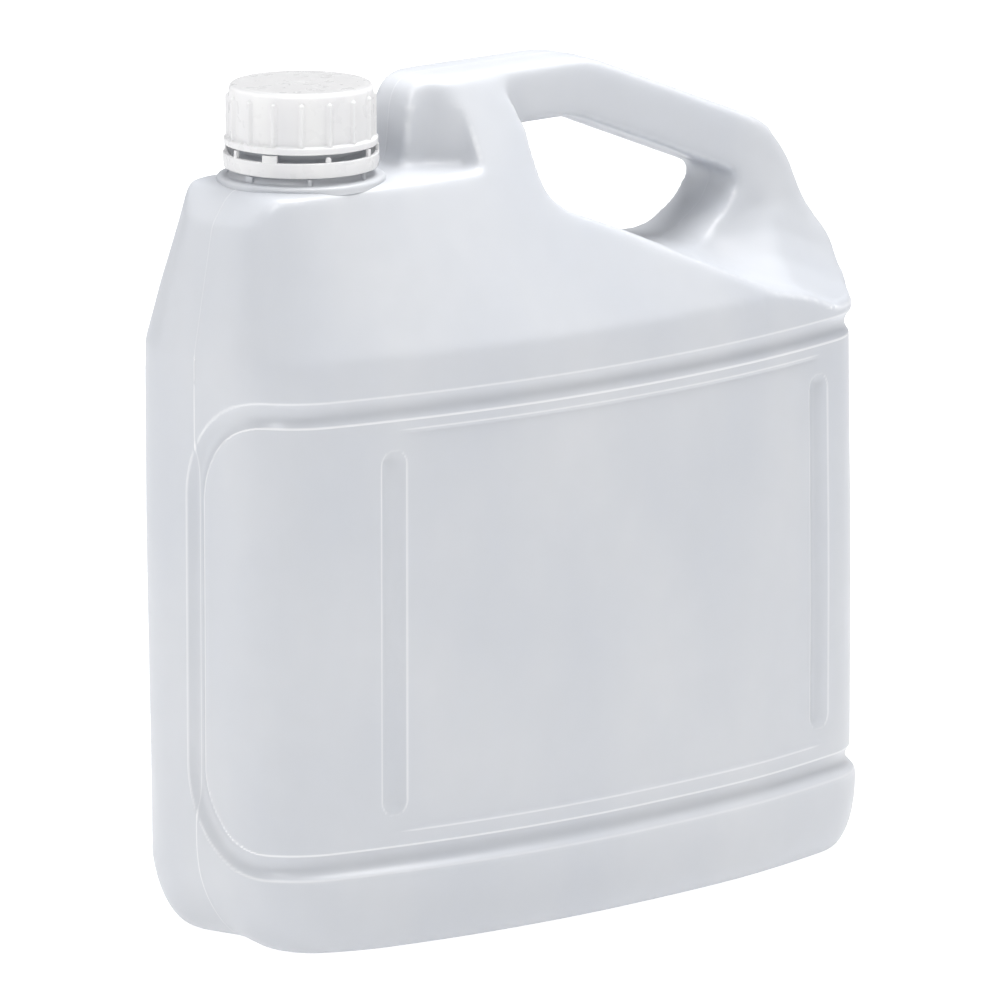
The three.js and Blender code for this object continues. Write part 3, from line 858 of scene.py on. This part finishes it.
def add_to(bm, other):
    mesh = bpy.data.meshes.new("joined")
    other.to_mesh(mesh)
    other.free()
    bm.from_mesh(mesh)
    bpy.data.meshes.remove(mesh)


def smooth_named(bm, name, sharp=None):
    for f in bm.faces:
        f.smooth = True
    if sharp:
        for e in bm.edges:
            if len(e.link_faces) == 2 and e.calc_face_angle(0) > math.radians(sharp):
                e.smooth = False
    return named(bm, name, MM)


def make_neck():
    """Collar, snap bead, thread and land, with the lugs that stop the band from turning."""
    bead_low = BAND_TOP - BAND_HEIGHT + 1.7
    foot = DECK_HEIGHT - 1.1
    profile = (
        [(BORE_RADIUS, foot), (COLLAR_RADIUS, foot), (COLLAR_RADIUS, DECK_HEIGHT + 0.3)]
        + arc(COLLAR_RADIUS - 1.2, DECK_HEIGHT + 0.4, 1.2, 0, 80, 8)
        + arc(24.2, DECK_HEIGHT + 3.0, 1.4, 260, 180, 4)
        + [(22.3, DECK_HEIGHT + 3.9), (21.0, DECK_HEIGHT + 4.7), (20.9, bead_low - 0.3)]
        + arc(BEAD_RADIUS - 0.5, bead_low + 0.5, 0.5, -90, 0, 3)
        + [(BEAD_RADIUS, bead_low + 0.9), (NECK_RADIUS, bead_low + 3.6)]
        + upright(NECK_RADIUS, bead_low + 3.6, LAND_HEIGHT - 0.5, 0.4)
        + arc(NECK_RADIUS - 0.5, LAND_HEIGHT - 0.5, 0.5, 0, 90, 4)
        + arc(BORE_RADIUS + 0.5, LAND_HEIGHT - 0.5, 0.5, 90, 180, 4)
        + upright(BORE_RADIUS, LAND_HEIGHT - 0.5, foot, 5)
    )
    bm = spun(profile, True)
    for v in bm.verts:
        r, turn = polar(v.co)
        if abs(r - NECK_RADIUS) < 0.05 and v.co.z < LAND_HEIGHT - 0.4:
            push(v, thread_relief(turn, v.co.z, THREAD_START))
    for i in range(LUG_COUNT):
        turn = LUG_TURN + FULL_TURN * i / LUG_COUNT
        wide = WIDE_LUG if i == LUG_COUNT - 1 else LUG_WIDTH
        high = BAND_TOP - BAND_HEIGHT - 0.35
        add_to(bm, block(turn, LUG_RADIUS, wide, LUG_DEPTH, DECK_HEIGHT + 0.9, high, 0.3))
    return smooth_named(bm, "neck_finish", 40)


def make_cap():
    """The screw cap: flange, ribbed side, flat top with a gate mark, and the thread inside."""
    outer = CAP_ROOT + CAP_WALL
    inner = CAP_TOP - CAP_TOP_WALL
    profile = (
        [(0, inner), (CAP_ROOT - 0.8, inner), (CAP_ROOT, inner - 0.8)]
        + upright(CAP_ROOT, inner - 0.8, CAP_BOTTOM + 0.6, 0.45)
        + [(CAP_ROOT, CAP_BOTTOM + 0.6), (CAP_ROOT + 0.6, CAP_BOTTOM)]
        + arc(FLANGE_RADIUS - 0.35, CAP_BOTTOM + 0.35, 0.35, -90, 0, 3)
        + arc(FLANGE_RADIUS - 0.45, CAP_BOTTOM + 1.75, 0.45, 0, 70, 4)
        + [(outer + 0.7, CAP_BOTTOM + 2.35)]
        + arc(outer + 0.6, CAP_BOTTOM + 2.95, 0.6, 250, 180, 4)
        + upright(outer, CAP_BOTTOM + 2.95, RIB_TOP - 2.6, 1.6)
        + upright(outer, RIB_TOP - 2.6, RIB_TOP + 0.3, 0.18)
        + arc(outer - CAP_EDGE, CAP_TOP - CAP_EDGE, CAP_EDGE, 0, 90, 12)
        + [(outer - 3.2, CAP_TOP), (12, CAP_TOP), (3, CAP_TOP), (GATE_RADIUS, CAP_TOP)]
        + [(GATE_RADIUS - 0.2, CAP_TOP - 0.12), (GATE_RADIUS - 0.4, CAP_TOP - 0.02)]
        + [(0.8, CAP_TOP), (0, CAP_TOP)]
    )
    bm = spun(profile, False)
    for v in bm.verts:
        r, turn = polar(v.co)
        if abs(r - outer) < 0.62 and CAP_BOTTOM + 2.3 < v.co.z < RIB_TOP:
            off = (turn - RIB_TURN) % (FULL_TURN / RIB_COUNT)
            off = min(off, FULL_TURN / RIB_COUNT - off) * outer
            above = max(v.co.z - (RIB_TOP - RIB_HALF), 0)
            push(v, max(0, outer + dome(math.hypot(off, above), RIB_HALF, RIB_PROUD) - r))
        elif abs(r - CAP_ROOT) < 0.05:
            push(v, -thread_relief(turn, v.co.z, THREAD_START + THREAD_PITCH / 2))
    return smooth_named(bm, "ribbed_cap", 50)


def make_band():
    """The tear band: its ring, the lip caught under the bead, and what is left of its bridges."""
    low = BAND_TOP - BAND_HEIGHT
    inside = BAND_RADIUS - 1.5
    lip = BEAD_RADIUS - 0.8
    profile = (
        [(lip, low + 0.2), (lip + 0.2, low)]
        + arc(BAND_RADIUS - 0.7, low + 0.5, 0.5, -90, 0, 4)
        + [(BAND_RADIUS, low + 2.4)]
        + arc(BAND_RADIUS - 0.35, BAND_TOP - 0.35, 0.35, 0, 90, 4)
        + arc(inside + 0.3, BAND_TOP - 0.3, 0.3, 90, 180, 3)
        + [(inside, low + 1.6), (inside - 0.3, low + 1.4), (lip + 0.2, low + 1.4), (lip, low + 1.2)]
    )
    bm = spun(profile, True, 240)
    middle = BAND_RADIUS - 0.75
    high = CAP_BOTTOM - 0.3
    # Degrees round from the group's middle, width, top and edge rounding of each bridge.
    bridges = (
        (-57, 1.5, high, 0.2),
        (-24, 4.4, high - 0.1, 0.2),
        (-18.2, 0.9, high, 0.2),
        (22, 1.9, high - 0.5, 0.75),
    )
    for group in range(BRIDGE_REPEATS):
        start = BRIDGE_TURN + FULL_TURN * group / BRIDGE_REPEATS
        for degrees, wide, top, round_off in bridges:
            turn = start + math.radians(degrees)
            add_to(bm, block(turn, middle, wide, 1.2, BAND_TOP - 0.6, top, round_off))
    return smooth_named(bm, "tear_band", 50)


def make_liner():
    """The sealing disc between the land and the cap."""
    low = LAND_HEIGHT + 0.3
    radius = CAP_ROOT - 0.3
    profile = (
        [(0, low), (radius - 0.2, low)]
        + arc(radius - 0.2, low + 0.2, 0.2, -90, 0, 3)
        + arc(radius - 0.2, low + 0.8, 0.2, 0, 90, 3)
        + [(0, low + 1.0)]
    )
    return smooth_named(spun(profile, False, 96), "sealing_liner", 50)


def line_inside(bm):
    """The inner skin of the wall, coarser than the outer, joined to it round the mouth under the neck."""
    outer = bpy.data.meshes.new("skin")
    bm.to_mesh(outer)
    copy = bpy.data.objects.new("skin", outer)
    bpy.context.scene.collection.objects.link(copy)
    thin = copy.modifiers.new("fewer", "DECIMATE")
    thin.ratio = 0.2
    settle(copy)
    inner = bmesh.new()
    inner.from_mesh(copy.data)
    scrap(copy)
    inner.normal_update()
    moves = [(v, v.normal.copy()) for v in inner.verts]
    for v, n in moves:
        v.co -= n * WALL
    bmesh.ops.reverse_faces(inner, faces=inner.faces)
    add_to(bm, inner)
    rims = [e for e in bm.edges if e.is_boundary]
    bmesh.ops.bridge_loops(bm, edges=rims)


body = make_body()
neck = make_neck()
cap = make_cap()
band = make_band()
liner = make_liner()
for piece, rides, stands_for, slot in (
    (body, "root", "bottle", "milky_hdpe"),
    (neck, "root", "bottle", "milky_hdpe"),
    (cap, "cap", "screw_cap", "white_cap"),
    (band, "root", "tamper_band", "white_band"),
    (liner, "liner", "cap_liner", "foam_liner"),
):
    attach(piece, rides)
    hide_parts(stands_for)


# ---- finishes ----


THIN_WALL = "#cdd0d6"
THICK_WALL = "#dcdddf"
MOTTLE = "#cfd1d4"
WALL_GLOW = "#e8ebf0"
GLOW_SHARE = 0.35  # of the light on the wall that goes through it
PP_WHITE = "#efefef"
PP_SHADE = "#e7e7e9"
# Painted shade for the cap's flat top, which is lit less than its side.
PP_TOP_PAINTED_SHADE = "#c2c2c3"
PP_GLOW_SHARE = 0.3  # white PP lets less light through than the jug, enough to fill the slots


def linear(hex_colour):
    """An sRGB hex colour as linear values."""
    parts = [int(hex_colour[i : i + 2], 16) / 255 for i in (1, 3, 5)]
    return tuple(c / 12.92 if c <= 0.04045 else ((c + 0.055) / 1.055) ** 2.4 for c in parts) + (1.0,)


def node(tree, kind, settings=None, links=None):
    """Adds a node; a setting or link is keyed by socket name or number, or by an attribute's name."""
    made = tree.nodes.new(kind)
    for key, value in (settings or {}).items():
        if isinstance(key, int) or key in made.inputs:
            made.inputs[key].default_value = value
        else:
            setattr(made, key, value)
    for key, source in (links or {}).items():
        tree.links.new(source, made.inputs[key])
    return made


def finish_called(name):
    material = bpy.data.materials.new(name)
    material.use_nodes = True
    material.node_tree.nodes.clear()
    return material, material.node_tree


def drift(tree, across, detail=2.0, stretch=(1, 1, 1)):
    """Smooth noise fixed to the object, with features about this many millimetres across."""
    place = node(tree, "ShaderNodeTexCoord").outputs["Object"]
    turned = node(tree, "ShaderNodeMapping", {"Scale": stretch}, {"Vector": place})
    return node(
        tree,
        "ShaderNodeTexNoise",
        {"Scale": 1000 / across, "Detail": detail, "Roughness": 0.5},
        {"Vector": turned.outputs[0]},
    ).outputs["Fac"]


def remap(tree, value, low, high, to_low, to_high):
    settings = {"From Min": low, "From Max": high, "To Min": to_low, "To Max": to_high}
    return node(tree, "ShaderNodeMapRange", settings, {"Value": value}).outputs[0]


def blend(tree, factor, first, second):
    """Mixes two colours; each is a socket or a hex colour."""
    made = node(tree, "ShaderNodeMix", {"data_type": "RGBA"}, {"Factor": factor})
    for place, colour in ((6, first), (7, second)):
        if isinstance(colour, str):
            made.inputs[place].default_value = linear(colour)
        else:
            tree.links.new(colour, made.inputs[place])
    return made.outputs[2]


def bumped(tree, layers):
    """Stacks bumps; each layer is a height socket, its relief in millimetres and its strength."""
    normal = None
    for height, relief_mm, strength in layers:
        links = {"Height": height}
        if normal:
            links["Normal"] = normal
        settings = {"Strength": strength, "Distance": relief_mm * MM}
        normal = node(tree, "ShaderNodeBump", settings, links).outputs[0]
    return normal


def milky_hdpe():
    """Natural blow-moulded HDPE: a waxy skin over a wall that lets some light through.

    Where the wall is thin it looks cooler and greyer, where it is thick it looks whiter, in soft
    clouds a few centimetres across. Sharp outward edges are painted white as fine lines of painted
    highlight. The bare mould leaves a fine satin grain and long faint flow waves.
    """
    material, tree = finish_called("blow_moulded_milky_HDPE")
    crest = node(tree, "ShaderNodeAttribute", {"attribute_name": "crest"}).outputs["Fac"]
    # Wall thickness: clouds 45 mm across and longer upwards, the way the soft tube was stretched.
    clouds = drift(tree, 45, 3.0, (1, 1, 0.55))
    thin = remap(tree, clouds, 0.2, 0.8, 0, 1)
    wall = blend(tree, thin, THIN_WALL, THICK_WALL)
    # A faint mottling of the natural resin, 7 mm across, that breaks up the even tone.
    mottle = remap(tree, drift(tree, 7, 0.0), 0.1, 0.9, 0, 0.3)
    wall = blend(tree, mottle, wall, MOTTLE)
    # Painted highlight: the sharpest outward edges are painted white, standing in for the light they
    # catch.
    tone = blend(tree, remap(tree, crest, 0.1, 0.5, 0, 1), wall, "#ffffff")
    # Gloss: most of the skin is satin, and rubbed patches 30 mm across are a little shinier.
    gloss = remap(tree, drift(tree, 30, 1.0), 0.1, 0.9, 0.27, 0.37)
    # The real mould grain is under 0.1 mm; it is drawn 0.9 mm across, so that a close view shows it.
    grain = drift(tree, 0.9, 1.0)
    # Flow waves of the blown wall: 35 mm long and a few hundredths of a millimetre deep.
    waves = drift(tree, 35, 1.0, (1, 1, 0.5))
    normal = bumped(tree, ((waves, 1.2, 0.35), (grain, 0.02, 0.25)))
    skin = node(
        tree,
        "ShaderNodeBsdfPrincipled",
        {"IOR": 1.54},
        {"Base Color": tone, "Roughness": gloss, "Normal": normal},
    )
    glow = node(tree, "ShaderNodeBsdfTranslucent", {"Color": linear(WALL_GLOW)}, {"Normal": normal})
    mix = node(
        tree, "ShaderNodeMixShader", {"Fac": GLOW_SHARE}, {1: skin.outputs[0], 2: glow.outputs[0]}
    )
    node(tree, "ShaderNodeOutputMaterial", {}, {"Surface": mix.outputs[0]})
    return material


def white_pp():
    """Injection-moulded white PP: dense, cleaner and whiter than the jug, with a soft sheen.

    Titanium white makes it opaque. Its skin is polished between the ribs and slightly pebbled, and
    the tone wanders a little round the cap as the melt flowed from the gate in the middle of the top.
    """
    material, tree = finish_called("injection_moulded_white_polypropylene")
    # Flow of the melt: patches 12 mm across, drawn out down the side of the cap.
    flow = remap(tree, drift(tree, 12, 3.0, (1, 1, 0.3)), 0.35, 0.65, 0, 1)
    tone = blend(tree, flow, PP_SHADE, PP_WHITE)
    # Painted shade: the flat top is painted greyer than the side, standing in for the weaker light that
    # falls on it.
    place = node(tree, "ShaderNodeTexCoord").outputs["Object"]
    height = node(tree, "ShaderNodeSeparateXYZ", links={"Vector": place}).outputs["Z"]
    top = remap(tree, height, (CAP_TOP - 0.9) * MM, (CAP_TOP - 0.3) * MM, 0, 1)
    tone = blend(tree, top, tone, PP_TOP_PAINTED_SHADE)
    gloss = remap(tree, drift(tree, 5), 0.3, 0.7, 0.24, 0.36)
    # Pebbling: the real grain is about 0.05 mm, drawn 0.5 mm across so that a close view shows it.
    pebbles = drift(tree, 0.5, 1.0)
    sink = drift(tree, 9, 1.0)
    normal = bumped(tree, ((sink, 0.15, 0.3), (pebbles, 0.008, 0.2)))
    skin = node(
        tree,
        "ShaderNodeBsdfPrincipled",
        {"IOR": 1.49},
        {"Base Color": tone, "Roughness": gloss, "Normal": normal},
    )
    glow = node(tree, "ShaderNodeBsdfTranslucent", {"Color": linear(PP_WHITE)}, {"Normal": normal})
    mix = node(
        tree, "ShaderNodeMixShader", {"Fac": PP_GLOW_SHARE}, {1: skin.outputs[0], 2: glow.outputs[0]}
    )
    node(tree, "ShaderNodeOutputMaterial", {}, {"Surface": mix.outputs[0]})
    return material


def liner_foam():
    """Foamed PE sealing disc: dull, slightly warm white with closed cells showing as fine pits."""
    material, tree = finish_called("foamed_polyethylene_liner")
    place = node(tree, "ShaderNodeTexCoord").outputs["Object"]
    # Cells 0.7 mm across, near their real size.
    cells = node(tree, "ShaderNodeTexVoronoi", {"Scale": 1400}, {"Vector": place}).outputs["Distance"]
    tone = blend(tree, remap(tree, cells, 0.1, 0.6, 0, 1), "#d9d7cf", "#efeee9")
    normal = bumped(tree, ((cells, 0.1, 0.6), (drift(tree, 6), 0.2, 0.3)))
    skin = node(
        tree,
        "ShaderNodeBsdfPrincipled",
        {"IOR": 1.45, "Roughness": 0.75},
        {"Base Color": tone, "Normal": normal},
    )
    node(tree, "ShaderNodeOutputMaterial", {}, {"Surface": skin.outputs[0]})
    return material


hdpe = milky_hdpe()
pp = white_pp()
body.data.materials.append(hdpe)
neck.data.materials.append(hdpe)
cap.data.materials.append(pp)
band.data.materials.append(pp)
liner.data.materials.append(liner_foam())

# ---- floor, light and camera ----


def floor():
    """A white sweep, lit from within so that it stays as pale as the surroundings."""
    bpy.ops.mesh.primitive_plane_add(size=30, location=(0, 0, -0.0005))
    plane = bpy.context.object
    plane.name = "floor"
    material, tree = finish_called("white_sweep")
    matt = node(tree, "ShaderNodeBsdfDiffuse", {"Color": (0.5, 0.5, 0.5, 1)})
    lit = node(tree, "ShaderNodeEmission", {"Color": (1, 1, 1, 1), "Strength": 0.85})
    both = node(tree, "ShaderNodeAddShader")
    tree.links.new(matt.outputs[0], both.inputs[0])
    tree.links.new(lit.outputs[0], both.inputs[1])
    node(tree, "ShaderNodeOutputMaterial", {}, {"Surface": both.outputs[0]})
    plane.data.materials.append(material)


def lamp(name, place, size, energy, aim=(0, 0, 0.13)):
    data = bpy.data.lights.new(name, "AREA")
    data.shape = "RECTANGLE"
    data.size, data.size_y = size
    data.energy = energy
    obj = bpy.data.objects.new(name, data)
    obj.location = place
    obj.rotation_mode = "QUATERNION"
    obj.rotation_quaternion = (Vector(place) - Vector(aim)).to_track_quat("Z", "Y")
    bpy.context.scene.collection.objects.link(obj)


def around(azimuth, elevation, distance, centre=(0, 0, 0.13)):
    a, e = math.radians(azimuth), math.radians(elevation)
    back = Vector((math.sin(a) * math.cos(e), -math.cos(a) * math.cos(e), math.sin(e)))
    return Vector(centre) + back * distance, back


def studio():
    """Even pale surroundings, with softboxes over the top, at the neck end and before the corner."""
    world = bpy.data.worlds.new("studio")
    bpy.context.scene.world = world
    world.use_nodes = True
    world.node_tree.nodes["Background"].inputs[0].default_value = (1, 1, 1, 1)
    world.node_tree.nodes["Background"].inputs[1].default_value = 0.3
    lamp("front_softbox", around(-66, 44, 1.9)[0], (0.3, 0.6), 11)
    lamp("back_left_softbox", around(-130, 18, 1.6)[0], (1.4, 1.4), 7.5)
    lamp("top_softbox", (0.35, -0.08, 1.7), (1.5, 1.2), 51)
    bpy.context.scene.view_settings.view_transform = "Standard"


def camera():
    data = bpy.data.cameras.new("camera")
    data.lens, data.sensor_width = 432, 36
    obj = bpy.data.objects.new("camera", data)
    azimuth = -41
    right = Vector((math.cos(math.radians(azimuth)), math.sin(math.radians(azimuth)), 0))
    centre = Vector((0, 0, 0.1285)) - right * 0.0016
    place, back = around(azimuth, 12, 3.9, centre)
    obj.location = place
    obj.rotation_mode = "QUATERNION"
    obj.rotation_quaternion = back.to_track_quat("Z", "Y")
    data.clip_end = 100
    bpy.context.scene.collection.objects.link(obj)
    bpy.context.scene.camera = obj


floor()
studio()
camera()

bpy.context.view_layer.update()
